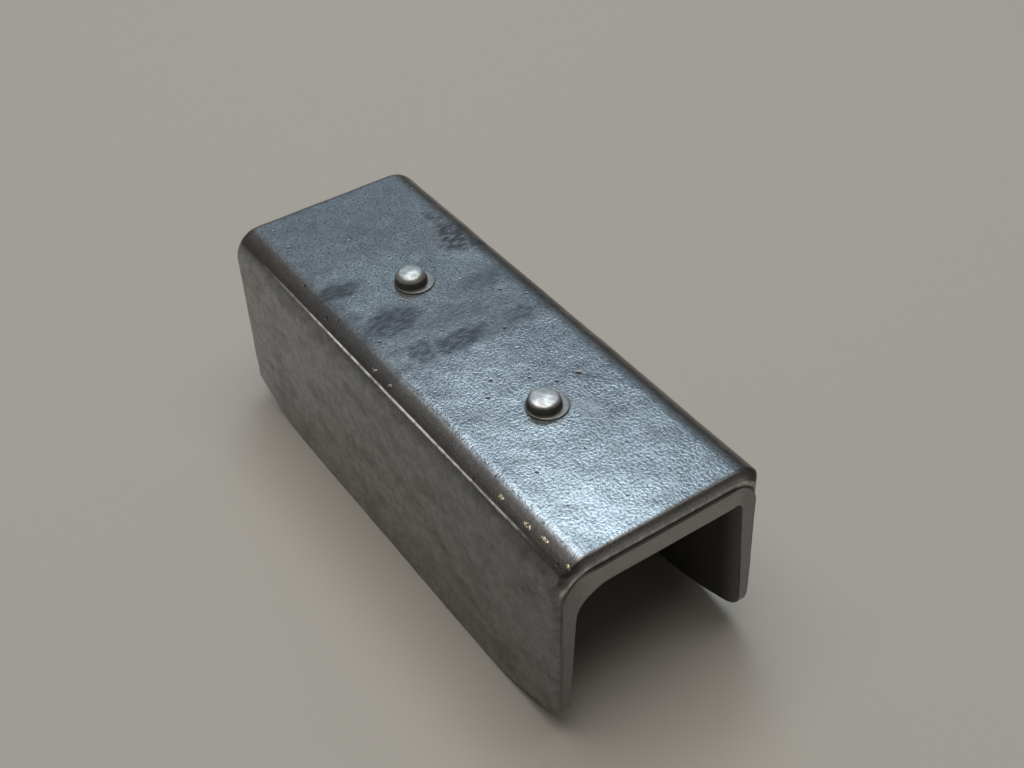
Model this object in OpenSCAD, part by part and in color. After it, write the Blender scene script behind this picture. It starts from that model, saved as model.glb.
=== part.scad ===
// Strut channel joiner: a cast saddle that slips over two butted lengths of square strut.
// X runs along the channel with the front end at +X, Z points up, and the flanges stand on Z = 0.

/* [Strut] */
// Side of the square strut that lies in the hollow
strut_size = 41.3; // [34:0.1:50]
// Play between the strut and the root of each flange
strut_play = 0.35; // [0.1:0.05:1]
// Reach of the flanges past the open side of the strut
flange_reach = 1.5; // [0:0.1:8]

/* [Channel] */
// Length from end to end
channel_length = 139.2; // [110:0.2:200]
// Thickness of the web
web_t = 9.2; // [7:0.1:12]
// Thickness of a flange at its root, level with the underside of the web
flange_root_t = 5.2; // [4:0.1:7]
// Thickness of a flange at its tip
flange_tip_t = 2.4; // [2:0.1:3.8]
// Radius of the long outside corners
corner_r = 7.3; // [5:0.1:9]
// Radius of the long inside corners
fillet_r = 5.5; // [2:0.1:8]

/* [Flange toes] */
// Length of the upswept stretch at each end of a flange's lower edge
sweep_run = 33.5; // [20:0.5:45]
// Height that the lower edge gains over that stretch
sweep_rise = 8.1; // [4:0.1:12]
// Radius of the lower corner at the end of a flange
toe_r = 3.4; // [2:0.1:8]

/* [Ends] */
// Radius of the rolled-over outer edge round each end
rim_r = 3; // [1.5:0.1:4]
// Distance that the rim lies behind the flat end face
rim_set = 0.5; // [0.2:0.05:1]
// Width of the rim along the top of the web
rim_web_w = 4.1; // [3:0.1:5.5]
// Width of the rim at the root of a flange
rim_root_w = 1.6; // [1:0.1:3]
// Width of the rim at the tip of a flange
rim_tip_w = 0.7; // [0.4:0.1:1.5]
// Radius of the end face's upper corners
face_corner_r = 7; // [3:0.1:9]

/* [Rivets] */
// Distance of the front rivet from the front end
front_rivet_inset = 39.7; // [25:0.1:50]
// Distance of the rear rivet from the rear end
rear_rivet_inset = 45.7; // [25:0.1:50]
// Diameter of the shank
shank_d = 5; // [3:0.1:6]
// Play round the shank and its tail
rivet_play = 0.05; // [0.02:0.01:0.2]
// Diameter of the thin skirt that the head spreads on the web
skirt_d = 9.5; // [9:0.1:12]
// Thickness of the skirt
skirt_t = 0.4; // [0.3:0.1:1]
// Diameter of the round head
dome_d = 7.8; // [6.5:0.1:8]
// Height of the front head above its skirt, where the hammer flattened it most
front_dome_h = 3; // [2.2:0.1:3.9]
// Height of the rear head above its skirt
rear_dome_h = 3.4; // [2.2:0.1:3.9]
// Radius to which the hammer flattened the crowns
crown_r = 12; // [6:0.5:40]
// Distance that the head sits off the middle of its skirt
dome_shift = 0.8; // [0:0.05:0.85]
// Diameter of the tail where it lies flush with the underside of the web
tail_d = 8; // [7:0.1:9]
// Height of the tail's cone
tail_h = 2; // [1:0.1:3]

/* [Hidden] */
$fn = 64;
// Overlap that carries a cut clear of a face
over = 1;
// Hair's breadth by which a round corner stands out of the sides that it blends, so that they always meet
blend = 0.001;
hollow_top = strut_size + flange_reach;
hollow_half = strut_size / 2 + strut_play;
height = hollow_top + web_t;
half_width = hollow_half + flange_root_t;
half_length = channel_length / 2;
rim_half = half_length - rim_set;
// Centre of the round outside corner, in the cross-section
corner_y = half_width - corner_r;
corner_z = height - corner_r;
// Circle that the flange's lower edge follows, and where it leaves the flat stretch
sweep_r = (pow(sweep_run, 2) + pow(sweep_rise, 2)) / (2 * sweep_rise);
flat_half = half_length - sweep_run;
// Centre of the toe's corner, which rounds into the end a little past the end plane
toe_past = 0.15;
toe_x = half_length + toe_past - toe_r;
toe_z = sweep_r - sqrt(pow(sweep_r - toe_r, 2) - pow(toe_x - flat_half, 2));
// Top of the end face
face_top = height - rim_web_w;
// Height of the round head's middle above its skirt
dome_lift = 0.4;
front_rivet_x = half_length - front_rivet_inset;
rear_rivet_x = rear_rivet_inset - half_length;

// Carries a cross-section drawn in Y and Z along X
module along_x(length) {
    rotate([90, 0, 90])
        linear_extrude(length, center = true)
            children();
}

// Carries an outline drawn in X and Z across Y
module across_y(width) {
    rotate([90, 0, 0])
        linear_extrude(width, center = true)
            children();
}

// Arch with leaning sides and round upper corners, open past the flange tips
module arch(top, half_top, half_base, corner) {
    lean = atan((half_base - half_top) / top);
    centre = [half_top + corner * (tan(lean) - 1 / cos(lean)), top - corner];
    side = centre + corner * [cos(lean), sin(lean)];
    foot = half_base + over * tan(lean);
    polygon([
        [-foot, -over],
        [foot, -over],
        side,
        [centre[0], top],
        [-centre[0], top],
        [-side[0], side[1]]
    ]);
    for (hand = [-1, 1])
        translate([hand * (centre[0] + blend), centre[1] + blend])
            circle(corner);
}

// Strip of the wall seen edge-on: depth along x, from rim to rim along y, outer corners rolled over
module rim_strip(depth) {
    translate([0, -rim_half])
        square([depth - rim_r, 2 * rim_half]);
    translate([0, rim_r - rim_half])
        square([depth, 2 * (rim_half - rim_r)]);
    for (end = [-1, 1])
        translate([depth - rim_r, end * (rim_half - rim_r)])
            circle(rim_r);
}

// Web and filled hollow between the two corner centres
module core_block() {
    across_y(2 * corner_y)
        translate([0, -over])
            rotate(90)
                rim_strip(height + over);
}

// Long round corner and the outer skin of one flange
module corner_and_side() {
    translate([0, corner_y, corner_z]) {
        rotate([90, 0, 90])
            rotate_extrude(angle = 90)
                rim_strip(corner_r);
        rotate([180, 0, 90])
            linear_extrude(corner_z + over)
                rim_strip(corner_r);
    }
}

// Half of the side view's lower outline: flat stretch, upswept arc and round toe
module toe_outline() {
    reach = 2 * toe_r;
    outward = [toe_x - flat_half, toe_z - sweep_r] / (sweep_r - toe_r);
    difference() {
        union() {
            square([flat_half, height + over]);
            intersection() {
                translate([flat_half, sweep_r])
                    circle(sweep_r);
                translate([flat_half, -over])
                    square([sweep_run + over, height + 2 * over]);
            }
        }
        translate([toe_x, toe_z])
            difference() {
                polygon([[0, 0], reach * outward, [reach, -reach], [reach, 0]]);
                translate(blend * outward)
                    circle(toe_r);
            }
    }
}

// Flat end faces, which stand out of the rims
module end_faces() {
    along_x(channel_length)
        arch(face_top, half_width - rim_root_w, half_width - rim_tip_w, face_corner_r);
}

module outer_body() {
    intersection() {
        union() {
            core_block();
            corner_and_side();
            mirror([0, 1, 0])
                corner_and_side();
            end_faces();
        }
        across_y(2 * (half_width + over)) {
            toe_outline();
            mirror([1, 0])
                toe_outline();
        }
    }
}

// Bore for the shank, with a countersink in the underside for the tail
module rivet_hole(x) {
    translate([x, 0, hollow_top - over])
        cylinder(h = web_t + 2 * over, d = shank_d + 2 * rivet_play);
    translate([x, 0, hollow_top])
        cylinder(h = tail_h, d1 = tail_d, d2 = shank_d + 2 * rivet_play);
}

module channel() {
    color("slategray")
        difference() {
            outer_body();
            along_x(channel_length + 2 * over)
                arch(hollow_top, hollow_half, half_width - flange_tip_t, fillet_r);
            rivet_hole(front_rivet_x);
            rivet_hole(rear_rivet_x);
        }
}

// Set rivet: skirt and off-centre head on the web, shank in the bore, tail flush in the countersink
module rivet(x, dome_h) {
    color("silver")
        translate([x, 0, height]) {
            cylinder(h = skirt_t, d = skirt_d);
            translate([0, -dome_shift, skirt_t])
                intersection() {
                    translate([0, 0, dome_lift])
                        sphere(d = dome_d);
                    translate([0, 0, dome_h - crown_r])
                        sphere(crown_r);
                    cylinder(h = dome_h + over, d = dome_d + over);
                }
            translate([0, 0, -web_t])
                cylinder(h = web_t + skirt_t, d = shank_d);
            translate([0, 0, -web_t])
                cylinder(h = tail_h, d1 = tail_d - 2 * rivet_play, d2 = shank_d);
        }
}

module front_rivet() {
    rivet(front_rivet_x, front_dome_h);
}

module rear_rivet() {
    rivet(rear_rivet_x, rear_dome_h);
}

channel();
front_rivet();
rear_rivet();
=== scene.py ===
import math

import bpy
from mathutils import Matrix, Vector


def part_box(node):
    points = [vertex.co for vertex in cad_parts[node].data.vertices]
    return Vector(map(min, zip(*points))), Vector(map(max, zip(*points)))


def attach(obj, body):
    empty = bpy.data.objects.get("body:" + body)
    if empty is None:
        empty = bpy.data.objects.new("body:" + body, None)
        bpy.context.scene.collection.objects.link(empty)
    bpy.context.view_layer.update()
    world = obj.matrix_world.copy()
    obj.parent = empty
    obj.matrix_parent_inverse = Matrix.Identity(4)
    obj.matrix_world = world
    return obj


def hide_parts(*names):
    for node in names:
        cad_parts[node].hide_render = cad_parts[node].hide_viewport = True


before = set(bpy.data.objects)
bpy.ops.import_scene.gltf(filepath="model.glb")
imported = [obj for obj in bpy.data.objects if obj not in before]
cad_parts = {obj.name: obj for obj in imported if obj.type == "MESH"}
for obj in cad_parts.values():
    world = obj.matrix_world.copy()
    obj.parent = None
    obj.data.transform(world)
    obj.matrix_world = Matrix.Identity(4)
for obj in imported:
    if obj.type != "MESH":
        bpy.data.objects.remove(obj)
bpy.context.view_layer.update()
print("frame loaded with nodes", sorted(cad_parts))

mm = 0.001

meshCare = {
    "hair": 0.02 * mm,     # places closer than this count as the same
    "weld": 0.004 * mm,    # points closer than this become one
    "flat": 0.4,           # degrees; faces that meet more evenly than this become one
    "sliver": 0.01 * mm,   # faces thinner than this are taken out
    "shade": 34,           # degrees; edges that fold less than this are shaded smooth
}


# Working helpers: selection, edit mode and modifiers

def deselectAll():
    if bpy.context.mode != "OBJECT":
        bpy.ops.object.mode_set(mode="OBJECT")
    bpy.ops.object.select_all(action="DESELECT")


def makeActive(piece):
    deselectAll()
    piece.select_set(True)
    bpy.context.view_layer.objects.active = piece


def openMesh(piece, mode="VERT"):
    makeActive(piece)
    bpy.ops.object.mode_set(mode="EDIT")
    bpy.ops.mesh.select_mode(type=mode)


def closeMesh():
    bpy.ops.object.mode_set(mode="OBJECT")


# Nothing on the mesh stays selected, and the piece is left in object mode
def clearPick(piece):
    openMesh(piece)
    bpy.ops.mesh.select_all(action="DESELECT")
    closeMesh()


# Each pick is made in object mode, by place or normal, and leaves the piece in edit mode
def pickFaces(piece, wanted):
    clearPick(piece)
    for face in piece.data.polygons:
        face.select = bool(wanted(face.center, face.normal))
    openMesh(piece, "FACE")


# Only edges that fold by more than the given angle are asked about
def pickSharpEdges(piece, degrees, wanted):
    openMesh(piece, "EDGE")
    bpy.ops.mesh.select_all(action="DESELECT")
    bpy.ops.mesh.edges_select_sharp(sharpness=math.radians(degrees))
    closeMesh()
    points = piece.data.vertices
    sharp = [edge.index for edge in piece.data.edges if edge.select]
    clearPick(piece)
    for index in sharp:
        edge = piece.data.edges[index]
        edge.select = bool(wanted(points[edge.vertices[0]].co, points[edge.vertices[1]].co))
    openMesh(piece, "EDGE")


def softenPicked(offset, steps):
    bpy.ops.mesh.bevel(offset=offset, segments=steps, affect="EDGES", clamp_overlap=True)


# A new piece that starts as a welded copy of a node's own mesh
def copyOfNode(nodeName, pieceName):
    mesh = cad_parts[nodeName].data.copy()
    mesh.materials.clear()
    piece = bpy.data.objects.new(pieceName, mesh)
    bpy.context.scene.collection.objects.link(piece)
    openMesh(piece)
    bpy.ops.mesh.select_all(action="SELECT")
    bpy.ops.mesh.customdata_custom_splitnormals_clear()
    bpy.ops.mesh.remove_doubles(threshold=meshCare["weld"])
    bpy.ops.mesh.dissolve_limited(angle_limit=math.radians(meshCare["flat"]))
    bpy.ops.mesh.normals_make_consistent(inside=False)
    closeMesh()
    print(pieceName, "starts with", len(mesh.polygons), "faces")
    return piece


# Cuts the whole piece into strips by planes across one axis
def cutAcross(axis, first, last, step):
    count = max(1, round((last - first) / step))
    facing = Vector((0, 0, 0))
    facing[axis] = 1
    for index in range(1, count):
        place = facing * (first + (last - first) * index / count)
        bpy.ops.mesh.select_all(action="SELECT")
        bpy.ops.mesh.bisect(plane_co=place, plane_no=facing)


# Slivers that the cuts leave along round edges are taken out, and hollow faces are split
def dropSlivers(piece):
    openMesh(piece)
    bpy.ops.mesh.select_all(action="SELECT")
    bpy.ops.mesh.dissolve_degenerate(threshold=meshCare["sliver"])
    bpy.ops.mesh.vert_connect_concave()
    closeMesh()


def displace(piece, name, size, depth, group=""):
    texture = bpy.data.textures.new(name, "CLOUDS")
    texture.noise_scale = size
    modifier = piece.modifiers.new(name, "DISPLACE")
    modifier.texture = texture
    modifier.texture_coords = "LOCAL"
    modifier.strength = depth
    modifier.mid_level = 0.5
    modifier.vertex_group = group
    makeActive(piece)
    bpy.ops.object.modifier_apply(modifier=name)


def weighPoints(piece, name, weight):
    group = piece.vertex_groups.new(name=name)
    for point in piece.data.vertices:
        group.add([point.index], weight(point.co), "REPLACE")


def smoothShade(piece):
    makeActive(piece)
    bpy.ops.object.shade_smooth_by_angle(angle=math.radians(meshCare["shade"]))


def smoothStep(low, high, value):
    share = min(1.0, max(0.0, (value - low) / (high - low)))
    return share * share * (3 - 2 * share)


# Node helpers: every pattern is laid out in millimetres of the object's own frame

def newFinish(name):
    finish = bpy.data.materials.new(name)
    finish.use_nodes = True
    tree = finish.node_tree
    coordinates = tree.nodes.new("ShaderNodeTexCoord")
    place = vectorCalc(tree, "SCALE", coordinates.outputs["Object"], scale=1 / mm)
    return finish, tree, tree.nodes["Principled BSDF"], place


def feed(tree, socket, value):
    if isinstance(value, bpy.types.NodeSocket):
        tree.links.new(value, socket)
    else:
        socket.default_value = value


def calc(tree, operation, first, second=0.0):
    node = tree.nodes.new("ShaderNodeMath")
    node.operation = operation
    feed(tree, node.inputs[0], first)
    feed(tree, node.inputs[1], second)
    return node.outputs[0]


def scaled(tree, value, factor, offset):
    return calc(tree, "ADD", calc(tree, "MULTIPLY", value, factor), offset)


def joined(tree, operation, values):
    total = values[0]
    for value in values[1:]:
        total = calc(tree, operation, total, value)
    return total


def largest(tree, shares):
    return joined(tree, "MAXIMUM", shares)


def product(tree, shares):
    return joined(tree, "MULTIPLY", shares)


def rootOfSquares(tree, first, second):
    squares = [calc(tree, "POWER", value, 2.0) for value in (first, second)]
    return calc(tree, "SQRT", joined(tree, "ADD", squares))


def vectorCalc(tree, operation, first, second=None, scale=None):
    node = tree.nodes.new("ShaderNodeVectorMath")
    node.operation = operation
    feed(tree, node.inputs[0], first)
    if second is not None:
        feed(tree, node.inputs[1], second)
    if scale is not None:
        feed(tree, node.inputs["Scale"], scale)
    return node.outputs["Value" if operation in ("LENGTH", "DOT_PRODUCT") else "Vector"]


def axes(tree, vector):
    node = tree.nodes.new("ShaderNodeSeparateXYZ")
    feed(tree, node.inputs[0], vector)
    return node.outputs


# 0 below low, top above high, smooth between; low above high turns it round
def rise(tree, value, low, high, top=1.0):
    node = tree.nodes.new("ShaderNodeMapRange")
    node.interpolation_type = "SMOOTHSTEP"
    feed(tree, node.inputs["Value"], value)
    if low < high:
        ends = (low, high, 0.0, top)
    else:
        ends = (high, low, top, 0.0)
    for socket, number in zip(("From Min", "From Max", "To Min", "To Max"), ends):
        node.inputs[socket].default_value = number
    return node.outputs["Result"]


# A zone is a product of fades: each names what is measured, then low, high and top as rise takes them
def fadeZones(tree, measures, zones):
    shares = {}
    for name, fades in zones.items():
        shares[name] = product(tree, [rise(tree, measures[measure], *ends) for measure, *ends in fades])
    return shares


def mixColour(tree, share, first, second, mode="MIX"):
    node = tree.nodes.new("ShaderNodeMix")
    node.data_type = "RGBA"
    node.blend_type = mode
    feed(tree, node.inputs[0], share)
    feed(tree, node.inputs[6], first)
    feed(tree, node.inputs[7], second)
    return node.outputs[2]


def mixValue(tree, share, first, second):
    node = tree.nodes.new("ShaderNodeMix")
    node.data_type = "FLOAT"
    feed(tree, node.inputs[0], share)
    feed(tree, node.inputs[2], first)
    feed(tree, node.inputs[3], second)
    return node.outputs[0]


def noise(tree, place, scale, detail, output="Fac"):
    node = tree.nodes.new("ShaderNodeTexNoise")
    feed(tree, node.inputs["Vector"], place)
    node.inputs["Scale"].default_value = scale
    node.inputs["Detail"].default_value = detail
    return node.outputs[output]


def cells(tree, place, scale):
    node = tree.nodes.new("ShaderNodeTexVoronoi")
    feed(tree, node.inputs["Vector"], place)
    node.inputs["Scale"].default_value = scale
    return node.outputs


# Local coordinates of a patch: centre, half sizes and a turn about the upright axis
def inPatch(tree, place, centre, half, degrees=0.0):
    node = tree.nodes.new("ShaderNodeMapping")
    node.vector_type = "TEXTURE"
    feed(tree, node.inputs["Vector"], place)
    node.inputs["Location"].default_value = centre
    node.inputs["Rotation"].default_value = (0, 0, math.radians(degrees))
    node.inputs["Scale"].default_value = half
    return node.outputs["Vector"]


def stretched(tree, place, sizes, degrees=0.0):
    return inPatch(tree, place, (0, 0, 0), sizes, degrees)


def patch(tree, place, centre, half, degrees, soft):
    away = vectorCalc(tree, "LENGTH", inPatch(tree, place, centre, half, degrees))
    return rise(tree, away, 1.0 + soft / 2, 1.0 - soft / 2)


# Shifts a place about by a coloured noise, whose middle grey leaves it where it is
def shaken(tree, place, scale, detail, reach):
    shift = vectorCalc(tree, "SCALE", noise(tree, place, scale, detail, "Color"), scale=reach)
    back = (-reach / 2, -reach / 2, -reach / 2)
    return vectorCalc(tree, "ADD", vectorCalc(tree, "ADD", place, shift), back)


def bump(tree, height, distance, strength=1.0):
    node = tree.nodes.new("ShaderNodeBump")
    node.inputs["Distance"].default_value = distance
    node.inputs["Strength"].default_value = strength
    feed(tree, node.inputs["Height"], height)
    return node.outputs["Normal"]


# Channel: the cast saddle

castChannel = {
    "halfLength": 69.6 * mm,   # out to the flat end faces
    "rimPlane": 69.1 * mm,     # out to the rim round each end face
    "rimRadius": 3 * mm,
    "rimTight": 1.0 * mm,      # radius that the near rim has along the web
    "rimFade": (40, 85),       # degrees from upright over which the near rim gets wide again
    "rimCore": 0.6,            # share of the roll's radius that stays where it is
    "halfWidth": 26.2 * mm,
    "height": 52 * mm,
    "webUnder": 42.8 * mm,
    "cornerMiddle": Vector((0, -18.9, 44.7)) * mm,   # axis of the left round corner
    "cornerRadius": 7.3 * mm,
    "hollowHalf": 21 * mm,     # half width of the hollow under the web
    "hollowLean": math.radians(3.743),
    "filletRadius": 5.5 * mm,
    "leftFillet": 8 * mm,      # the inside corners came out of the mould unequal
    "rightFillet": 2.4 * mm,
    "filletFade": 5 * mm,      # depth of metal that gives way round a changed corner
    "sharpFold": 50,           # degrees; edges that fold more than this are softened
    "softSteps": 2,
    "faceSoft": 0.2 * mm,      # how far the end faces' edges are worn round
    "tipSoft": 0.6 * mm,       # the same along the flange tips
    "tipHeight": 9.5 * mm,     # the flange tips lie below this
    "tipEnd": 0.7 * mm,        # and stop short of the end faces by this
    "sweepStart": 36.1 * mm,   # where the flanges' lower edge begins to sweep up
    "sweepRadius": 73.3 * mm,
    "toeRadius": 3.4 * mm,
    "toePast": 0.15 * mm,
    "toeCore": 0.3,            # share of a worn toe's radius that stays where it is
    "wornToe": 7.5 * mm,       # radius of the toes that are worn most
    "wornToes": ((1, 1), (-1, 1), (-1, -1)),   # which end and which hand they are at
    "cut": 1.4 * mm,           # spacing of the cuts that give the casting its points
    "fineAbove": 44.8 * mm,    # the web's upper side is cut finer above this
    "fineWithin": 68.9 * mm,   # and between these ends
    "fineFacing": 0.05,
    "fineWorn": 0.02,          # so is what is worn more than this
    "waveSize": 12 * mm,       # wide unevenness, then dimples
    "waveDepth": 0.22 * mm,
    "dimpleSize": 3.2 * mm,
    "dimpleDepth": 0.05 * mm,
}

# Wear of the flanges' tips, toes and end faces; each pair is where it begins and where it is full
flangeWear = {
    "tipBand": (2.6 * mm, 1.2 * mm),     # height above the lower edge
    "tipEnds": (58 * mm, 66 * mm),       # towards the ends the tips are worn less, by this share
    "tipLess": 0.6,
    "toeReach": (64.5 * mm, 67 * mm),
    "toeHeight": (30 * mm, 10 * mm),
    "toeShare": 0.4,
    "faceSide": (17 * mm, 21 * mm),      # beside the web the end face hardly stands out of the rim
    "faceHeight": (36 * mm, 14 * mm),    # lower down it is pushed back less, by this share
    "faceLess": 0.6,
    "faceBack": 0.34 * mm,
    "smoothing": 0.5,
    "passes": 12,
}

# Raised seam along the left corner, from the far end to the near end
cornerSeam = {
    "start": Vector((-58.5, -24.47, 49.42)) * mm,
    "end": Vector((64.5, -24.2, 49.72)) * mm,
    "halfBand": 0.27 * mm,
    "cuts": (-1, -0.5, 0, 0.5, 1),   # where the corner is cut along it, in half bands
    "core": 0.7,               # share of the band that is raised
    "height": 0.2 * mm,
    "beside": -19.5 * mm,      # the corner that carries it lies left of and above these
    "above": 45 * mm,
    "facing": 0.4,
    "startFade": 9 * mm,
    "endFade": 22 * mm,
    "lumps": 0.22,             # share of its height that comes and goes
    "lumpTurns": (900, 2310),  # radians per metre of the two waves that make the lumps
}

channel = copyOfNode("channel", "cast_channel")


def softenChannelEdges(look):
    def onEndFace(point):
        return abs(abs(point.x) - look["halfLength"]) < meshCare["hair"]

    def onTip(point):
        return point.z < look["tipHeight"] and abs(point.x) < look["halfLength"] - look["tipEnd"]

    pickSharpEdges(channel, look["sharpFold"], lambda a, b: onEndFace(a) and onEndFace(b))
    softenPicked(look["faceSoft"], look["softSteps"])
    pickSharpEdges(channel, look["sharpFold"], lambda a, b: onTip(a) and onTip(b))
    softenPicked(look["tipSoft"], look["softSteps"])
    closeMesh()


def cutChannel(look, wear):
    def onWebTop(at, way):
        inside = at.z > look["fineAbove"] and abs(at.x) < look["fineWithin"]
        return inside and way.z > look["fineFacing"]

    openMesh(channel)
    cutAcross(0, -look["halfLength"], look["halfLength"], look["cut"])
    cutAcross(1, -look["halfWidth"], look["halfWidth"], look["cut"])
    cutAcross(2, 0, look["height"], look["cut"])
    # the web's upper side carries the light, so it gets twice as many points
    pickFaces(channel, onWebTop)
    bpy.ops.mesh.subdivide(number_cuts=1)
    # so do the flanges' ends and tips, which are worn round
    pickFaces(channel, lambda at, way: wornShare(look, wear, at) > look["fineWorn"])
    bpy.ops.mesh.subdivide(number_cuts=1)
    closeMesh()
    dropSlivers(channel)
    print("channel cut into", len(channel.data.polygons), "faces")


# 1 along the flange tips, less on the toes, 0 on the web and the long sides
def wornShare(look, wear, at):
    beyond = max(0.0, abs(at.x) - look["sweepStart"])
    lowEdge = look["sweepRadius"] - math.sqrt(look["sweepRadius"] ** 2 - beyond ** 2)
    tip = smoothStep(*wear["tipBand"], at.z - lowEdge)
    tip *= 1 - wear["tipLess"] * smoothStep(*wear["tipEnds"], abs(at.x))
    toe = smoothStep(*wear["toeReach"], abs(at.x)) * smoothStep(*wear["toeHeight"], at.z)
    return max(tip, wear["toeShare"] * toe)


def wearFlangeEnds(look, wear):
    for point in channel.data.vertices:
        proud = smoothStep(look["rimPlane"], look["halfLength"], abs(point.co.x))
        proud *= smoothStep(*wear["faceSide"], abs(point.co.y))
        proud *= 1 - wear["faceLess"] * smoothStep(*wear["faceHeight"], point.co.z)
        point.co.x -= math.copysign(wear["faceBack"] * proud, point.co.x)
    weighPoints(channel, "worn", lambda at: wornShare(look, wear, at))
    modifier = channel.modifiers.new("wear", "SMOOTH")
    modifier.factor = wear["smoothing"]
    modifier.iterations = wear["passes"]
    modifier.vertex_group = "worn"
    makeActive(channel)
    bpy.ops.object.modifier_apply(modifier="wear")


# The near rim's roll gets tighter along the web and over the corners, and stays wide down the flanges
def tightenRim(look):
    wide = look["rimRadius"]
    middleY, middleZ = abs(look["cornerMiddle"].y), look["cornerMiddle"].z
    for point in channel.data.vertices:
        at = point.co
        if at.z < middleZ or at.x < 0:
            continue
        arm = Vector((max(0.0, abs(at.y) - middleY), at.z - middleZ))
        turn = math.degrees(math.atan2(arm.x, arm.y))
        inward = look["rimPlane"] - at.x
        depth = look["cornerRadius"] - arm.length
        if inward < -meshCare["hair"] or inward > wide or depth > wide:
            continue
        tight = look["rimTight"] + (wide - look["rimTight"]) * smoothStep(*look["rimFade"], turn)
        spot = Vector((wide - inward, wide - depth))
        way = spot.normalized()
        corner = wide - tight
        if wide * way.y <= corner * way.x:
            reach = wide / way.x
        elif wide * way.x <= corner * way.y:
            reach = wide / way.y
        else:
            middle = corner * (way.x + way.y)
            reach = middle + math.sqrt(middle ** 2 - 2 * corner ** 2 + tight ** 2)
        step = way * ((reach - wide) * smoothStep(look["rimCore"] * wide, wide, spot.length))
        outward = arm.normalized()
        at.x += step.x
        at.y += math.copysign(outward.x * step.y, at.y)
        at.z += outward.y * step.y


# Rounds one toe, seen from the side, to a wider radius
def roundToe(look, end, hand, radius):
    sweepMiddle = Vector((look["sweepStart"], look["sweepRadius"]))
    endPlane = look["halfLength"] + look["toePast"]
    core = look["toeCore"] * radius

    def middleOf(size):
        x = endPlane - size
        drop = math.sqrt((look["sweepRadius"] - size) ** 2 - (x - look["sweepStart"]) ** 2)
        return Vector((x, look["sweepRadius"] - drop))

    def inSector(arm, middle):
        low = middle - sweepMiddle
        return arm.y < 0 and low.x * arm.y - low.y * arm.x > 0

    def reachOf(start, way, middle, size):
        along = (middle - start).dot(way)
        return along + math.sqrt(max(0.0, along ** 2 - (middle - start).length_squared + size ** 2))

    old, new = middleOf(look["toeRadius"]), middleOf(radius)
    for point in channel.data.vertices:
        if point.co.x * end < 0 or point.co.y * hand < 0:
            continue
        arm = Vector((abs(point.co.x), point.co.z)) - new
        if arm.length < core or not inSector(arm, new):
            continue
        way = arm.normalized()
        reach = reachOf(new, way, old, look["toeRadius"])
        if not inSector(new + way * reach - old, old):
            flat = (endPlane - new.x) / way.x
            reach = min(flat, reachOf(new, way, sweepMiddle, look["sweepRadius"]))
        step = way * ((radius - reach) * smoothStep(core, reach, arm.length))
        point.co.x += step.x * end
        point.co.z += step.y


# Gives one inside corner of the hollow another radius and lets the metal round it follow
def reshapeFillet(look, hand, radius):
    lean = look["hollowLean"]
    sideWay = Vector((math.cos(lean), math.sin(lean)))
    topWay = Vector((0, 1))

    def middleOf(size):
        offset = size * (math.tan(lean) - 1 / math.cos(lean))
        return Vector((look["hollowHalf"] + offset, look["webUnder"] - size))

    def inCorner(spot):
        return sideWay.x * spot.y - sideWay.y * spot.x > 0 and spot.x > 0

    def depthIn(spot, size):
        arm = spot - middleOf(size)
        if inCorner(arm):
            return arm.length - size
        return max(arm.dot(sideWay), arm.dot(topWay)) - size

    wide = max(radius, look["filletRadius"])
    for point in channel.data.vertices:
        spot = Vector((point.co.y * hand, point.co.z))
        arm = spot - middleOf(wide)
        if not inCorner(arm):
            continue
        depth = depthIn(spot, look["filletRadius"])
        way = arm.normalized()
        # step along the arm until the new outline is met
        start = spot - way * depth
        target = start - way * depthIn(start, radius)
        target = target - way * depthIn(target, radius)
        shift = (target - start) * smoothStep(look["filletFade"], 0, depth)
        point.co.y += shift.x * hand
        point.co.z += shift.y


def raiseSeam(look, seam):
    along = (seam["end"] - seam["start"]).normalized()
    middle = (seam["start"] + seam["end"]) / 2
    outward = middle - look["cornerMiddle"]
    outward = (outward - along * outward.dot(along)).normalized()
    across = along.cross(outward)

    def onCorner(at):
        return at.y < seam["beside"] and at.z > seam["above"]

    for share in seam["cuts"]:
        pickFaces(channel, lambda at, way: onCorner(at) and way.dot(outward) > seam["facing"])
        bpy.ops.mesh.bisect(plane_co=middle + across * (share * seam["halfBand"]), plane_no=across)
    closeMesh()
    for point in channel.data.vertices:
        off = abs((point.co - middle).dot(across))
        if not onCorner(point.co) or off > seam["core"] * seam["halfBand"]:
            continue
        fade = smoothStep(seam["start"].x, seam["start"].x + seam["startFade"], point.co.x)
        fade *= smoothStep(seam["end"].x, seam["end"].x - seam["endFade"], point.co.x)
        waves = [math.sin(point.co.x * turns) for turns in seam["lumpTurns"]]
        lumps = 1 - seam["lumps"] + seam["lumps"] * waves[0] * waves[1]
        ridge = 1 - off / seam["halfBand"]
        point.co += outward * (seam["height"] * fade * lumps * ridge)
    print("seam raised along the left corner")


softenChannelEdges(castChannel)
cutChannel(castChannel, flangeWear)
reshapeFillet(castChannel, -1, castChannel["leftFillet"])
reshapeFillet(castChannel, 1, castChannel["rightFillet"])
tightenRim(castChannel)
for end, hand in castChannel["wornToes"]:
    roundToe(castChannel, end, hand, castChannel["wornToe"])
wearFlangeEnds(castChannel, flangeWear)
raiseSeam(castChannel, cornerSeam)
displace(channel, "castWaves", castChannel["waveSize"], castChannel["waveDepth"])
displace(channel, "castDimples", castChannel["dimpleSize"], castChannel["dimpleDepth"])
for point in channel.data.vertices:
    point.co.z = max(0.0, point.co.z)
smoothShade(channel)

# Finish of the channel: cast grey metal with pebbles, pits, smears and worn edges; the seam, lip and chips
# carry painted highlights, and the hollow, crease, rivet rings and parts of the web carry painted shade

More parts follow.
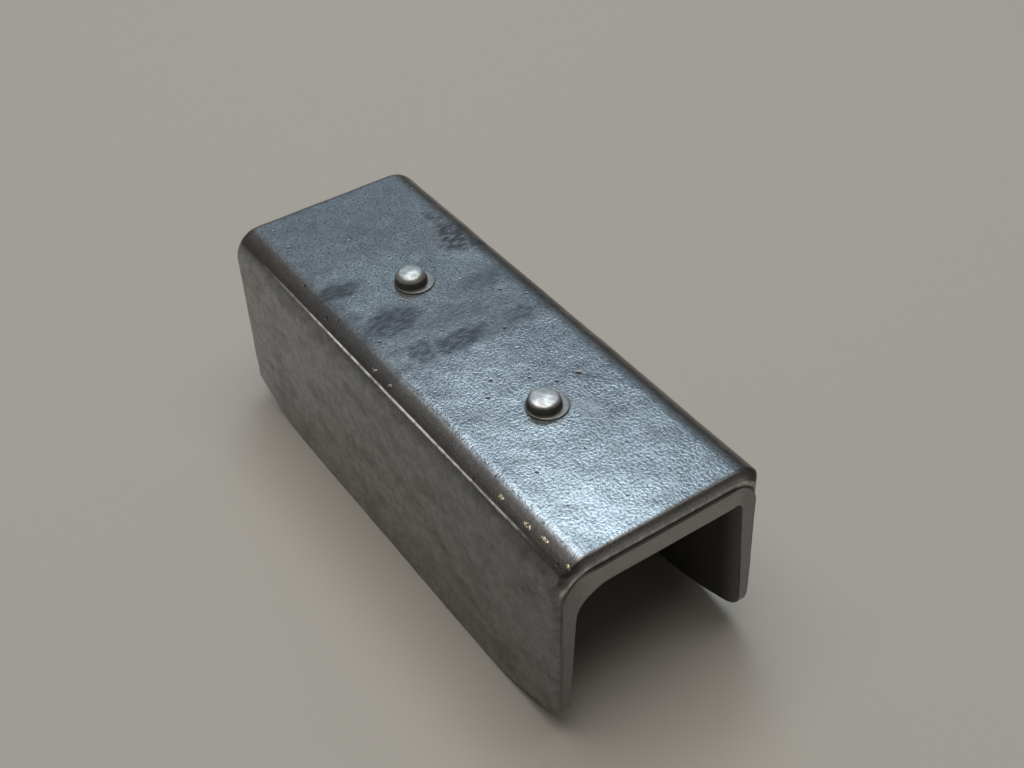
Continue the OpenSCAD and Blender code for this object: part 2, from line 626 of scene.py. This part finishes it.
castFinish = {
    "grey": (0.375, 0.38, 0.385, 1),
    "greyDull": (0.32, 0.323, 0.327, 1),
    "flangeGrey": (0.41, 0.415, 0.42, 1),
    "flangeDull": (0.28, 0.281, 0.282, 1),
    "faceGrey": (0.32, 0.305, 0.29, 1),
    "flangeFaceGrey": (0.24, 0.238, 0.234, 1),
    # painted shade deep in the hollow under the web, and painted light towards its open mouths
    "hollowShadeGrey": (0.1, 0.097, 0.094, 1),
    "hollowMouthLitGrey": (0.27, 0.26, 0.245, 1),
    "farTint": (1.0, 1.0, 1.0, 1),
    "nearTint": (0.64, 0.64, 0.63, 1),
    # brown tint with painted shade on the rounded left corner band
    "cornerTintAndShade": (0.4, 0.36, 0.32, 1),
    "blotchTint": (0.74, 0.725, 0.71, 1),
    # dark tint for the right and far edges, also used as painted shade over the near rim's roll
    "darkEdgeAndShadeTint": (0.3, 0.26, 0.22, 1),
    # dark grey for smears, also used for painted shade on the near web and in the pebble valleys
    "smearAndShadeGrey": (0.075, 0.075, 0.08, 1),
    "patchGrey": (0.064, 0.07, 0.077, 1),
    "pitGrey": (0.03, 0.03, 0.03, 1),
    # painted shade in the crease round each end face and in a ring round each rivet's foot
    "paintedShadeGrey": (0.035, 0.034, 0.034, 1),
    # painted highlight, with some wear, along the seam and the near lip
    "bright": (0.93, 0.9, 0.85, 1),
    # worn chips painted pale gold as glints of warm light, partly bare metal
    "chip": (0.95, 0.78, 0.52, 1),
    "grainShare": 0.35,
    # patterns: how many to a millimetre, and how much detail
    "clouds": (0.06, 2),
    "mottle": (0.45, 3),
    "grain": (2.2, 2),
    "fine": (1.5, 3),
    "streaks": (1.0, 3),
    "blotch": (0.16, 4),
    "smallBlotch": (0.3, 4),
    "speckle": (1.0, 5),
    "seamNoise": (0.55, 3),
    "chipNoise": (1.7, 2),
    # sizes by which some of them are drawn out
    "streakSizes": (26, 3, 2.2),
    "blotchSizes": (1.8, 1, 1),
    "speckleSizes": (1, 2.6, 1),
    # share of the second pattern in two that are mixed
    "mottleInClouds": 0.4,
    "streaksInMottle": 0.3,
    # raggedness of the smears and of the chips: pattern, then reach in millimetres
    "smearShake": (0.3, 3, 4.0),
    "chipShake": (1.1, 1, 1.2),
    # outline of the crease round the end face: top, lean of its sides, middle and radius of its corners
    "creaseTop": 47.9,
    "creaseLean": 0.019,
    "creaseMiddle": (17.6, 40.9),
    "creaseRadius": 7.0,
    "creaseShift": 0.05,
    "sheenStripY": -6,   # y of the strip along the near half of the web where the painted sheen is kept; away from it the web is painted darker
    "seamGrain": 0.3,
    # where each mark or part of the casting is: what is measured, where it fades in, and how strong
    "zones": {
        "top": [("z", 47.5, 50.8)],
        "hollow": [("z", 43.4, 43.0), ("wideY", 24.3, 24.0), ("wideX", 69.2, 68.8)],
        # where the painted light at the hollow's mouths fades in
        "hollowMouthLight": [("wideX", 62.5, 69)],
        "endFace": [("wideX", 68.9, 69.15), ("fromCrease", 0.1, -0.15)],
        "flangeFace": [("wideY", 17, 23)],
        "rim": [("wideX", 68.0, 68.9), ("z", 46, 48)],
        # painted shade over the near rim's roll above the lip
        "overLipShade": [("fromCrease", 2.0, 3.2, 0.7), ("wideX", 67.6, 68.4)],
        "towardsNear": [("x", -75, 75)],
        "leftCorner": [("y", -19.8, -21.4), ("z", 48.9, 49.6)],
        "rightEdge": [("y", 19.4, 23.2), ("z", 43, 46)],
        "farEdge": [("x", -67.2, -68.4), ("z", 46, 50)],
        "lightTop": [("topClouds", 0.36, 0.62)],
        "lightFlange": [("flangeClouds", 0.3, 0.68)],
        "blotches": [("blotch", 0.44, 0.7)],
        "nearStain": [("x", 50, 68), ("z", 26, 44), ("smallBlotch", 0.4, 0.58)],
        # painted shade: the near half of the web is painted darker away from the sheen's strip
        "sheenEdgeShade": [("fromStrip", 4, 13, 0.26), ("x", -10, 32)],
        # dirt and painted shade in the valleys between the pebbles
        "valleyDirtAndShade": [("fine", 0.52, 0.34, 0.5)],
        # the middle of the web is dull as far as a sharp line before the near rivet
        "dullMiddle": [("smearX", -26, -12), ("smearX", 4.4, 3.0, 0.5)],
        "smearBreaks": [("speckle", 0.36, 0.62, 0.36)],
        "patchBreaks": [("speckle", 0.2, 0.56)],
        "pits": [("pitDistance", 0.13, 0.05), ("pitChoice", 0.3, 0.75)],
        # painted shade along the crease round the end face
        "crease": [("offCrease", 0.3, 0.12), ("wideX", 68.3, 68.8)],
        "creaseAcross": [("wideY", 22, 17, 0.5)],
        # painted highlight along the raised seam, partly worn bright
        "seam": [("fromSeam", 0.54, 0.38), ("x", -64, -12), ("x", 66, 46)],
        "seamDim": [("x", 14, 40, 0.5)],
        "seamBreaks": [("seamNoise", 0.36, 0.6, 0.45)],
        # painted reflection along the near lip, partly worn bright
        "lip": [("fromCrease", 0.35, 0.7), ("fromCrease", 1.9, 1.1), ("wideX", 68.3, 68.8)],
        "lipBreaks": [("mottle", 0.42, 0.66, 0.3)],
        "chipBreaks": [("chipNoise", 0.4, 0.5)],
    },
    # share of a mark that stays where it is broken most
    "smearLeft": 0.76,
    "seamLeft": 0.42,
    "lipLeft": 0.25,
    "creaseLeft": 0.3,
    "webTop": 52,
    "markDepth": 12,   # how far down the corners a mark on the web can reach
    # centre x, y, half length, half width, turn, strength of each smear on the web
    "smearSoft": 1.1,
    "smears": (
        (-15, 13.5, 4.4, 6.6, 0, 0.72),
        (0.2, 13.4, 3.8, 6.0, 0, 0.82),
        (0.2, -2.5, 3.8, 8.8, 2, 0.95),
        (-1, -12, 4.6, 3.8, 0, 0.9),
        (-14, -11.5, 5.6, 8.4, 8, 0.95),
        (-31.5, -16.5, 3.4, 6.0, 0, 0.95),
        (-20, -20, 17, 3.2, 0, 0.65),
        (-7, 2, 6, 10, 0, 0.62),
        (-56, -4, 16, 24, 0, 0.2),
    ),
    "patchSoft": 0.9,
    "darkPatches": (
        (-34.5, 17.2, 7.6, 4.4, -14, 1.0),
        (-44, 18.2, 3.4, 2.6, 0, 0.85),
        (-28, 20.4, 5.0, 2.2, 0, 0.9),
        (36, 7, 3.2, 2.4, 20, 0.16),
    ),
    # x, y, z and half length of the chips along the left corner
    "chips": (
        (45.5, -22.6, 50.9, 0.7),
        (54.6, -22.7, 50.9, 1.1),
        (60.0, -22.3, 51.1, 1.2),
        (68.0, -22.6, 50.6, 0.8),
        (3.0, -22.9, 50.8, 0.6),
        (-3.5, -23.0, 50.7, 0.7),
    ),
    "chipHalfWidth": 0.42,
    "chipHalfHeight": 0.5,
    "chipSoft": 0.5,
    "pitDensity": 0.24,   # pits to a millimetre
    "pitShare": 0.85,
    # the one large pit: centre, half sizes, turn and softness
    "largePit": ((25.3, 11.7, 52), (0.65, 0.5, 2), 30, 0.7),
    "rivets": ((29.9, 0, 52), (-23.9, 0, 52)),
    "rivetRing": (5.4, 4.7),   # distances from a rivet's axis where the painted shade round it begins and is full
    "ringDepth": 40,
    "ringShare": 0.75,
    # roughness: how much a pattern adds to it and where it starts, or what a mark brings it to
    "topRough": (0.14, 0.15),
    "flangeRough": (0.2, 0.32),
    "hollowRough": 0.62,
    "rimRough": 0.48,
    "darkMarkRough": 0.6,
    "smearRoughShare": 0.35,
    "seamRough": 0.5,
    "chipRough": 0.25,
    "metallic": 0.82,
    "lessMetallic": 0.42,   # taken off on the seam and in the hollow
    # relief in millimetres
    "webRelief": 0.062,
    "flangeRelief": 0.025,
    "pitDepth": 0.13,
    "chipHeight": 0.06,
    "mottleInPebbles": 0.4,
}


# All that the zones are measured by: places, distances and patterns
def measureChannel(tree, place, look, seam):
    x, y, z = axes(tree, place)
    found = {"x": x, "y": y, "z": z}
    found["wideX"] = calc(tree, "ABSOLUTE", x)
    found["wideY"] = calc(tree, "ABSOLUTE", y)
    for name in ("clouds", "mottle", "grain", "fine", "smallBlotch", "seamNoise", "chipNoise"):
        found[name] = noise(tree, place, *look[name])
    for name, sizes in (("streaks", "streakSizes"), ("blotch", "blotchSizes"), ("speckle", "speckleSizes")):
        found[name] = noise(tree, stretched(tree, place, look[sizes]), *look[name])
    found["topClouds"] = mixValue(tree, look["mottleInClouds"], found["clouds"], found["mottle"])
    found["flangeClouds"] = mixValue(tree, look["streaksInMottle"], found["mottle"], found["streaks"])
    found["smearPlace"] = shaken(tree, place, *look["smearShake"])
    found["smearX"] = axes(tree, found["smearPlace"])[0]
    found["fromStrip"] = calc(tree, "ABSOLUTE", calc(tree, "SUBTRACT", y, look["sheenStripY"]))
    pitCells = cells(tree, place, look["pitDensity"])
    found["pitDistance"] = pitCells["Distance"]
    found["pitChoice"] = axes(tree, pitCells["Color"])[0]

    # distance outward from the crease round the end face
    middleY, middleZ = look["creaseMiddle"]
    lean = calc(tree, "MULTIPLY", calc(tree, "SUBTRACT", look["creaseTop"], z), look["creaseLean"])
    upright = calc(tree, "SUBTRACT", found["wideY"], lean)
    besideY = calc(tree, "MAXIMUM", calc(tree, "SUBTRACT", upright, middleY), 0.0)
    aboveZ = calc(tree, "MAXIMUM", calc(tree, "SUBTRACT", z, middleZ), 0.0)
    found["fromCrease"] = calc(tree, "SUBTRACT", rootOfSquares(tree, besideY, aboveZ), look["creaseRadius"])
    shifted = calc(tree, "ADD", found["fromCrease"], look["creaseShift"])
    found["offCrease"] = calc(tree, "ABSOLUTE", shifted)

    # distance from the seam, roughened by the grain
    slope = (seam["end"] - seam["start"]) / (seam["end"].x - seam["start"].x)
    base = (seam["start"] - slope * seam["start"].x) / mm
    offY = calc(tree, "SUBTRACT", y, scaled(tree, x, slope.y, base.y))
    offZ = calc(tree, "SUBTRACT", z, scaled(tree, x, slope.z, base.z))
    grain = calc(tree, "MULTIPLY", found["grain"], look["seamGrain"])
    found["fromSeam"] = calc(tree, "ADD", rootOfSquares(tree, offY, offZ), grain)
    return found


def markWeb(tree, place, look, marks, soft):
    shares = []
    for centreX, centreY, halfX, halfY, degrees, strength in marks:
        centre = (centreX, centreY, look["webTop"])
        spot = patch(tree, place, centre, (halfX, halfY, look["markDepth"]), degrees, soft)
        shares.append(calc(tree, "MULTIPLY", spot, strength))
    return shares


def ringRivets(tree, place, look):
    rings = []
    for centre in look["rivets"]:
        away = vectorCalc(tree, "LENGTH", inPatch(tree, place, centre, (1, 1, look["ringDepth"])))
        rings.append(rise(tree, away, *look["rivetRing"]))
    return largest(tree, rings)


def chipCorner(tree, place, look):
    chipPlace = shaken(tree, place, *look["chipShake"])
    chips = []
    for centreX, centreY, centreZ, half in look["chips"]:
        sizes = (half, look["chipHalfWidth"], look["chipHalfHeight"])
        chips.append(patch(tree, chipPlace, (centreX, centreY, centreZ), sizes, 0, look["chipSoft"]))
    return largest(tree, chips)


# Shares of the marks that lie on the cast metal
def markChannel(tree, place, look, measures, zones):
    def broken(share, left, breaks):
        return calc(tree, "MULTIPLY", share, calc(tree, "ADD", look[left], zones[breaks]))

    smears = markWeb(tree, measures["smearPlace"], look, look["smears"], look["smearSoft"])
    smears.append(zones["dullMiddle"])
    smear = broken(largest(tree, smears), "smearLeft", "smearBreaks")
    patches = markWeb(tree, measures["smearPlace"], look, look["darkPatches"], look["patchSoft"])
    smallPits = calc(tree, "MULTIPLY", zones["pits"], zones["top"])
    ring = calc(tree, "MULTIPLY", ringRivets(tree, place, look), zones["top"])
    seamShare = calc(tree, "MULTIPLY", zones["seam"], calc(tree, "SUBTRACT", 1.0, zones["seamDim"]))
    return {
        "smear": calc(tree, "MULTIPLY", smear, zones["top"]),
        "patch": calc(tree, "MULTIPLY", largest(tree, patches), zones["patchBreaks"]),
        "pits": largest(tree, [smallPits, patch(tree, place, *look["largePit"])]),
        # painted shade: a ring round each rivet and the crease round the end face
        "paintedShade": largest(tree, [
            calc(tree, "MULTIPLY", ring, look["ringShare"]),
            broken(zones["crease"], "creaseLeft", "creaseAcross"),
        ]),
        "seam": broken(seamShare, "seamLeft", "seamBreaks"),
        "lip": broken(zones["lip"], "lipLeft", "lipBreaks"),
        "chip": calc(tree, "MULTIPLY", chipCorner(tree, place, look), zones["chipBreaks"]),
    }


def colourChannel(tree, look, measures, zones, marks):
    onTop = zones["top"]
    onFlange = calc(tree, "SUBTRACT", 1.0, onTop)
    topColour = mixColour(tree, zones["lightTop"], look["greyDull"], look["grey"])
    flangeColour = mixColour(tree, zones["lightFlange"], look["flangeDull"], look["flangeGrey"])
    colour = mixColour(tree, onFlange, topColour, flangeColour)

    # tints over the bare metal: flanges darker towards the near end, blotches and stains, dark right and
    # far edges, and painted shade on the left corner band and over the near lip
    tints = (
        (onFlange, mixColour(tree, zones["towardsNear"], look["farTint"], look["nearTint"])),
        (zones["leftCorner"], look["cornerTintAndShade"]),
        (calc(tree, "MULTIPLY", zones["blotches"], onFlange), look["blotchTint"]),
        (calc(tree, "MULTIPLY", zones["nearStain"], onFlange), look["blotchTint"]),
        (zones["overLipShade"], look["darkEdgeAndShadeTint"]),
        (largest(tree, [zones["rightEdge"], zones["farEdge"]]), look["darkEdgeAndShadeTint"]),
    )
    for share, tint in tints:
        colour = mixColour(tree, share, colour, tint, "MULTIPLY")

    faceColour = mixColour(tree, zones["flangeFace"], look["faceGrey"], look["flangeFaceGrey"])
    colour = mixColour(tree, zones["endFace"], colour, faceColour)
    # painted shade inside the hollow, fading to painted light at its mouths
    hollowShading = mixColour(tree, zones["hollowMouthLight"], look["hollowShadeGrey"], look["hollowMouthLitGrey"])
    colour = mixColour(tree, zones["hollow"], colour, hollowShading)
    grain = mixColour(tree, measures["grain"], (0, 0, 0, 1), (1, 1, 1, 1))
    colour = mixColour(tree, look["grainShare"], colour, grain, "OVERLAY")

    # marks over it, the later on top
    layers = (
        # painted shade towards the web's long edges and in its pebble valleys, then the smears
        (calc(tree, "MULTIPLY", zones["sheenEdgeShade"], onTop), "smearAndShadeGrey"),
        (calc(tree, "MULTIPLY", zones["valleyDirtAndShade"], onTop), "smearAndShadeGrey"),
        (marks["smear"], "smearAndShadeGrey"),
        (marks["patch"], "patchGrey"),
        (calc(tree, "MULTIPLY", marks["pits"], look["pitShare"]), "pitGrey"),
        # painted shade in the crease and round the rivets
        (marks["paintedShade"], "paintedShadeGrey"),
        # painted highlight along the seam and the near lip, partly wear
        (largest(tree, [marks["seam"], marks["lip"]]), "bright"),
        # chips painted as warm glints over bare metal
        (marks["chip"], "chip"),
    )
    for share, name in layers:
        colour = mixColour(tree, share, colour, look[name])
    return colour


# The web is smoother between its pebbles than the flanges; smears, patches, pits and painted shade are dull
def roughenChannel(tree, look, measures, zones, marks):
    topRough = scaled(tree, measures["mottle"], *look["topRough"])
    flangeRough = scaled(tree, measures["streaks"], *look["flangeRough"])
    rough = mixValue(tree, zones["top"], flangeRough, topRough)
    smear = calc(tree, "MULTIPLY", marks["smear"], look["smearRoughShare"])
    changes = (
        (zones["hollow"], "hollowRough"),
        (largest(tree, [zones["leftCorner"], zones["rim"]]), "rimRough"),
        (largest(tree, [smear, marks["patch"], marks["pits"], marks["paintedShade"]]), "darkMarkRough"),
        (marks["seam"], "seamRough"),
        (marks["chip"], "chipRough"),
    )
    for share, name in changes:
        rough = mixValue(tree, share, rough, look[name])
    return rough


# Pebbles on the web, a finer skin elsewhere, pits and chips
def reliefOfChannel(tree, look, measures, zones, marks):
    mottle = calc(tree, "MULTIPLY", measures["mottle"], look["mottleInPebbles"])
    pebbles = calc(tree, "ADD", measures["fine"], mottle)
    depth = mixValue(tree, zones["top"], look["flangeRelief"], look["webRelief"])
    height = calc(tree, "MULTIPLY", pebbles, depth)
    height = calc(tree, "SUBTRACT", height, calc(tree, "MULTIPLY", marks["pits"], look["pitDepth"]))
    return calc(tree, "ADD", height, calc(tree, "MULTIPLY", marks["chip"], look["chipHeight"]))


def paintChannel(look, seam):
    finish, tree, shader, place = newFinish("castGreyMetal")
    measures = measureChannel(tree, place, look, seam)
    zones = fadeZones(tree, measures, look["zones"])
    marks = markChannel(tree, place, look, measures, zones)
    feed(tree, shader.inputs["Base Color"], colourChannel(tree, look, measures, zones, marks))
    feed(tree, shader.inputs["Roughness"], roughenChannel(tree, look, measures, zones, marks))
    less = calc(tree, "MULTIPLY", largest(tree, [marks["seam"], zones["hollow"]]), look["lessMetallic"])
    feed(tree, shader.inputs["Metallic"], calc(tree, "SUBTRACT", look["metallic"], less))
    relief = reliefOfChannel(tree, look, measures, zones, marks)
    feed(tree, shader.inputs["Normal"], bump(tree, relief, 1 * mm))
    channel.data.materials.append(finish)
    print("channel painted")


paintChannel(castFinish, cornerSeam)
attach(channel, "root")
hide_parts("channel")

# Rivets: hammered heads on thin skirts

setRivet = {
    "webTop": 52 * mm,
    "skirt": 0.4 * mm,
    "crownAbove": 1.2 * mm,    # the crown lies this far above the skirt, and more
    "crownFold": 22,           # degrees; the crown's edge folds more than this
    "crownSoft": 0.4 * mm,     # worn edge round the flattened crown
    "crownSteps": 4,
    "skirtFold": 60,
    "skirtStep": 1 * mm,       # edges round the skirt are shorter than this
    "skirtSoft": 0.16 * mm,
    "skirtSteps": 2,
    "cut": 0.45 * mm,
    "dentSize": 2.6 * mm,      # hammer marks
    "dentDepth": 0.22 * mm,
    "dentFade": 1.5 * mm,      # height above the skirt at which they are full
    "steel": (0.64, 0.645, 0.64, 1),
    "steelDull": (0.4, 0.39, 0.37, 1),
    # painted shade on the rivet heads
    "rivetShadeGrey": (0.05, 0.047, 0.043, 1),
    "tailGrey": (0.3, 0.29, 0.28, 1),
    # patterns: how many to a millimetre, and how much detail
    "clouds": (0.5, 4),
    "scratches": (1.0, 4),
    "skin": (1.6, 3),
    "scratchSizes": (3.0, 0.25, 3.0),
    "scratchTurn": 35,
    "scratchesInClouds": 0.4,
    "scratchesInSkin": 0.5,
    "footLift": 0.05,
    # where each tone is: what is measured, where it fades in, and how strong
    "zones": {
        "light": [("tone", 0.34, 0.62)],
        "skirt": [("aboveSkirt", 0.1, -0.05, 0.7)],
        # painted shade: a dark ring round the dome's lower flank, a line at its foot and at the skirt's
        # edge
        "flankShade": [("aboveSkirt", 0.25, 0.6), ("aboveSkirt", 2.5, 1.7)],
        "foot": [("fromFoot", 0.22, 0.08)],
        "edge": [("aboveWeb", 0.22, 0.05)],
        "head": [("z", 48, 50)],
        "tail": [("z", 46, 44)],
    },
    "flankShadeShare": 0.85,
    "footShare": 0.5,
    "rough": (-0.1, 0.55),     # how much the light tone adds to it and where it starts
    "rivetShadeRough": 0.55,
    "skinRelief": 0.03 * mm,
    "skinStrength": 0.6,
}


def paintRivets(look):
    finish, tree, shader, place = newFinish("wornRivetSteel")
    z = axes(tree, place)[2]
    clouds = noise(tree, place, *look["clouds"])
    scratchPlace = stretched(tree, place, look["scratchSizes"], look["scratchTurn"])
    scratches = noise(tree, scratchPlace, *look["scratches"])
    aboveWeb = calc(tree, "SUBTRACT", z, look["webTop"] / mm)
    aboveSkirt = calc(tree, "SUBTRACT", z, (look["webTop"] + look["skirt"]) / mm)
    measures = {
        "z": z,
        "aboveWeb": aboveWeb,
        "aboveSkirt": aboveSkirt,
        "fromFoot": calc(tree, "ABSOLUTE", calc(tree, "SUBTRACT", aboveSkirt, look["footLift"])),
        "tone": mixValue(tree, look["scratchesInClouds"], clouds, scratches),
    }
    zones = fadeZones(tree, measures, look["zones"])
    # the dark ring, foot line and skirt edge are painted shade
    flankShade = calc(tree, "MULTIPLY", zones["flankShade"], look["flankShadeShare"])
    foot = calc(tree, "MULTIPLY", zones["foot"], look["footShare"])
    dark = calc(tree, "MULTIPLY", largest(tree, [flankShade, foot, zones["edge"]]), zones["head"])
    colour = mixColour(tree, zones["light"], look["steelDull"], look["steel"])
    for share, name in ((zones["skirt"], "steelDull"), (dark, "rivetShadeGrey"), (zones["tail"], "tailGrey")):
        colour = mixColour(tree, share, colour, look[name])
    feed(tree, shader.inputs["Base Color"], colour)
    rough = scaled(tree, zones["light"], *look["rough"])
    feed(tree, shader.inputs["Roughness"], mixValue(tree, dark, rough, look["rivetShadeRough"]))
    shader.inputs["Metallic"].default_value = 1.0
    lines = calc(tree, "MULTIPLY", scratches, look["scratchesInSkin"])
    skin = calc(tree, "ADD", lines, noise(tree, place, *look["skin"]))
    feed(tree, shader.inputs["Normal"], bump(tree, skin, look["skinRelief"], look["skinStrength"]))
    return finish


def makeRivet(nodeName, pieceName, look, finish):
    piece = copyOfNode(nodeName, pieceName)
    skirtTop = look["webTop"] + look["skirt"]
    low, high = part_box(nodeName)

    def onCrown(point):
        return point.z > skirtTop + look["crownAbove"]

    def onSkirt(point):
        return abs(point.z - skirtTop) < meshCare["hair"]

    def roundSkirt(a, b):
        return onSkirt(a) and onSkirt(b) and (a - b).length < look["skirtStep"]

    pickSharpEdges(piece, look["crownFold"], lambda a, b: onCrown(a) and onCrown(b))
    softenPicked(look["crownSoft"], look["crownSteps"])
    pickSharpEdges(piece, look["skirtFold"], roundSkirt)
    softenPicked(look["skirtSoft"], look["skirtSteps"])
    openMesh(piece)
    for axis in range(3):
        cutAcross(axis, low[axis], high[axis], look["cut"])
    closeMesh()
    dropSlivers(piece)
    weighPoints(piece, "head", lambda at: smoothStep(skirtTop, skirtTop + look["dentFade"], at.z))
    displace(piece, pieceName + "Dents", look["dentSize"], look["dentDepth"], "head")
    smoothShade(piece)
    piece.data.materials.append(finish)
    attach(piece, "root")
    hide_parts(nodeName)
    print(pieceName, "has", len(piece.data.polygons), "faces")


rivetFinish = paintRivets(setRivet)
makeRivet("front_rivet", "front_rivet_head", setRivet, rivetFinish)
makeRivet("rear_rivet", "rear_rivet_head", setRivet, rivetFinish)

# Camera at the place where the picture was taken

viewer = {
    "place": (0.211056, -0.127499, 0.253052),
    "right": (0.56802, 0.82256, -0.02744),
    "up": (-0.53168, 0.3922, 0.75067),
    "back": (0.62823, -0.41181, 0.66011),
    "lens": 49.5565,
    "sensorWidth": 36,
    "clipStart": 0.01,
}

cameraData = bpy.data.cameras.new("viewer")
cameraData.lens = viewer["lens"]
cameraData.sensor_width = viewer["sensorWidth"]
cameraData.clip_start = viewer["clipStart"]
camera = bpy.data.objects.new("viewer", cameraData)
bpy.context.scene.collection.objects.link(camera)
cameraTurn = Matrix((viewer["right"], viewer["up"], viewer["back"])).transposed()
camera.matrix_world = Matrix.Translation(viewer["place"]) @ cameraTurn.to_4x4()
bpy.context.scene.camera = camera

# Floor and light: angles in degrees, sizes and distances in metres

studio = {
    "floor": (0.445, 0.412, 0.368, 1),
    "floorSize": 6,
    "floorRough": 0.9,
    "lamps": {
        "windowLight": {
            "azimuth": 144.5, "elevation": 59, "distance": 1.5,
            "width": 0.45, "height": 0.52,
            "power": 3.1, "colour": (0.66, 0.86, 1.0),
        },
        "ceilingLight": {
            "azimuth": 195, "elevation": 86, "distance": 1.8,
            "width": 1.7, "height": 1.7,
            "power": 24, "colour": (1.0, 0.975, 0.94),
        },
    },
    "roomDark": (0.105, 0.102, 0.097, 1),
    "roomBright": (0.235, 0.33, 0.41, 1),
    "brightWay": (-0.635, 0.338, 0.695),
    "brightSpread": (0.8, 0.98),   # cosines of the angles from that way where the bright begins and is full
}

deselectAll()
bpy.ops.mesh.primitive_plane_add(size=studio["floorSize"], location=(0, 0, 0))
floor = bpy.context.active_object
floor.name = "floor"
floorPaint = bpy.data.materials.new("floorPaint")
floorPaint.use_nodes = True
floorShader = floorPaint.node_tree.nodes["Principled BSDF"]
floorShader.inputs["Base Color"].default_value = studio["floor"]
floorShader.inputs["Roughness"].default_value = studio["floorRough"]
floor.data.materials.append(floorPaint)


def areaLight(name, azimuth, elevation, distance, width, height, power, colour):
    data = bpy.data.lights.new(name, "AREA")
    data.shape = "RECTANGLE"
    data.size = width
    data.size_y = height
    data.energy = power
    data.color = colour
    lamp = bpy.data.objects.new(name, data)
    bpy.context.scene.collection.objects.link(lamp)
    around, lift = math.radians(azimuth), math.radians(elevation)
    level = math.cos(lift)
    away = Vector((math.cos(around) * level, math.sin(around) * level, math.sin(lift)))
    lamp.location = away * distance
    lamp.rotation_euler = away.to_track_quat("Z", "Y").to_euler()


for lampName, settings in studio["lamps"].items():
    areaLight(lampName, **settings)


def paintRoom(look):
    world = bpy.data.worlds.new("room")
    bpy.context.scene.world = world
    world.use_nodes = True
    tree = world.node_tree
    way = tree.nodes.new("ShaderNodeTexCoord").outputs["Generated"]
    near = vectorCalc(tree, "DOT_PRODUCT", way, look["brightWay"])
    bright = rise(tree, near, *look["brightSpread"])
    colour = mixColour(tree, bright, look["roomDark"], look["roomBright"])
    feed(tree, tree.nodes["Background"].inputs["Color"], colour)


paintRoom(studio)
print("floor, lamps and room set")

bpy.context.scene.view_settings.view_transform = "Standard"
